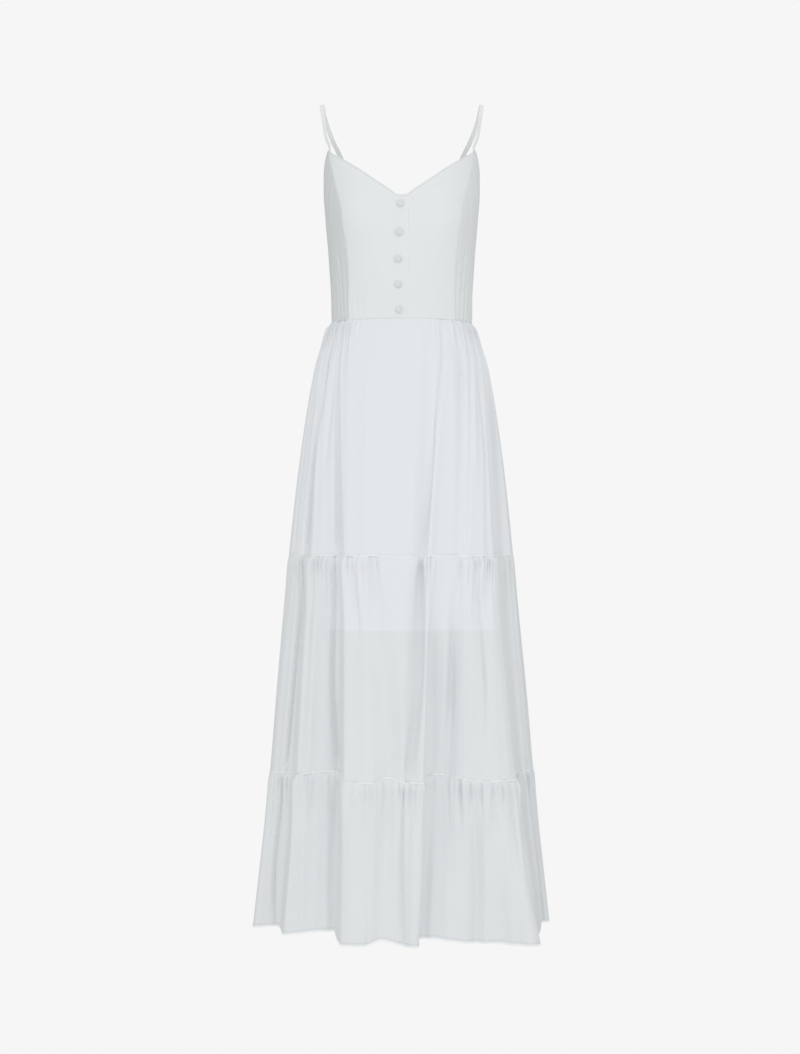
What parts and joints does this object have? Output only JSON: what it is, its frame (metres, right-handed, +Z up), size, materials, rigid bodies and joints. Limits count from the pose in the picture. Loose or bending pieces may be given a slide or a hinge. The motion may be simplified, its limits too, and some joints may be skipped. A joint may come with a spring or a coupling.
{
  "type": "maxi dress",
  "caption": "Sleeveless white maxi dress with thin straps, V neck, princess-seamed bodice with covered buttons, and a gathered tiered skirt",
  "frame": {"origin": "midway between the undersides of the two straps at their tops, where the wearer's shoulders hold the dress", "axes": "+Z up along the dress, -Y out of its front, +X to the wearer's left"},
  "size_m": [0.5196, 0.3974, 1.4305],
  "materials": {
    "white_cotton": "matte woven cotton",
    "lining_cloth": "matte woven cotton"
  },
  "bodies": {
    "root": {"front_right": "white_cotton", "front_left": "white_cotton", "side_left": "white_cotton", "side_right": "white_cotton", "back_bodice": "white_cotton", "strap_left": "white_cotton", "strap_right": "white_cotton", "button_1": "white_cotton", "button_2": "white_cotton", "button_3": "white_cotton", "button_4": "white_cotton", "button_5": "white_cotton", "skirt_upper_front": "white_cotton", "skirt_upper_back": "white_cotton", "skirt_middle_front": "white_cotton", "skirt_middle_back": "white_cotton", "skirt_lower_front": "white_cotton", "skirt_lower_back": "white_cotton", "lining_front": "lining_cloth", "lining_back": "lining_cloth"}
  },
  "joints": []
}
